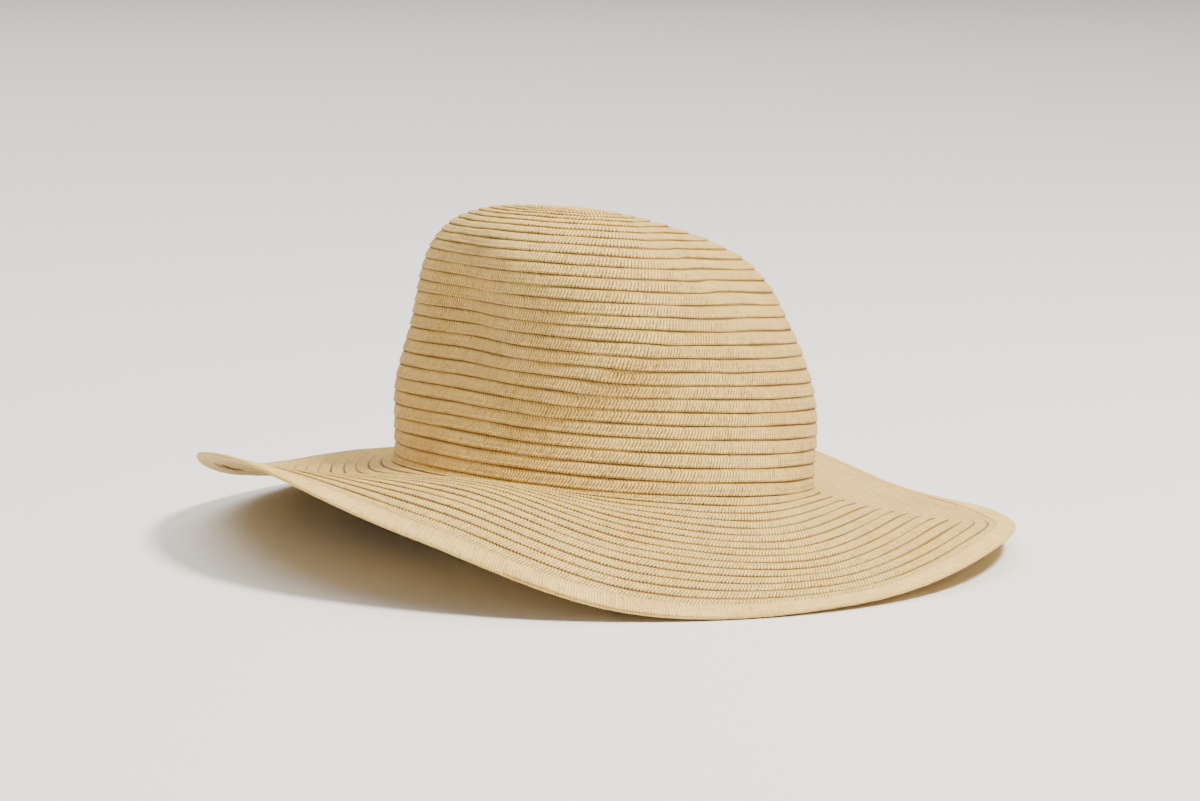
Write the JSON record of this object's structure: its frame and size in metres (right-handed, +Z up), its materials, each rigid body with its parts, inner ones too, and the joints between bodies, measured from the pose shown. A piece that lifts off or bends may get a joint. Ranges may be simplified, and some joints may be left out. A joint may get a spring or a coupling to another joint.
{
  "type": "wide-brimmed straw sun hat",
  "caption": "Soft dome-crowned sun hat sewn from a spiral of flat paper braid, with a wide waving brim, a doubled edge round and a cloth band inside the head opening.",
  "frame": {"origin": "on the floor under the middle of the hat's bounding box, the hat resting on three points of its brim edge", "axes": "+Z up from the floor, -Y toward the front of the hat, +X toward the wearer's left"},
  "size_m": [0.3414, 0.3714, 0.142],
  "materials": {
    "crown_braid": "matt plaited paper straw",
    "brim_braid": "matt plaited paper straw",
    "edge_braid": "matt plaited paper straw, doubled",
    "band_cloth": "smooth satin weave"
  },
  "bodies": {
    "root": {"crown": "crown_braid", "brim": "brim_braid", "brim_edge": "edge_braid", "sweatband": "band_cloth"}
  },
  "joints": []
}
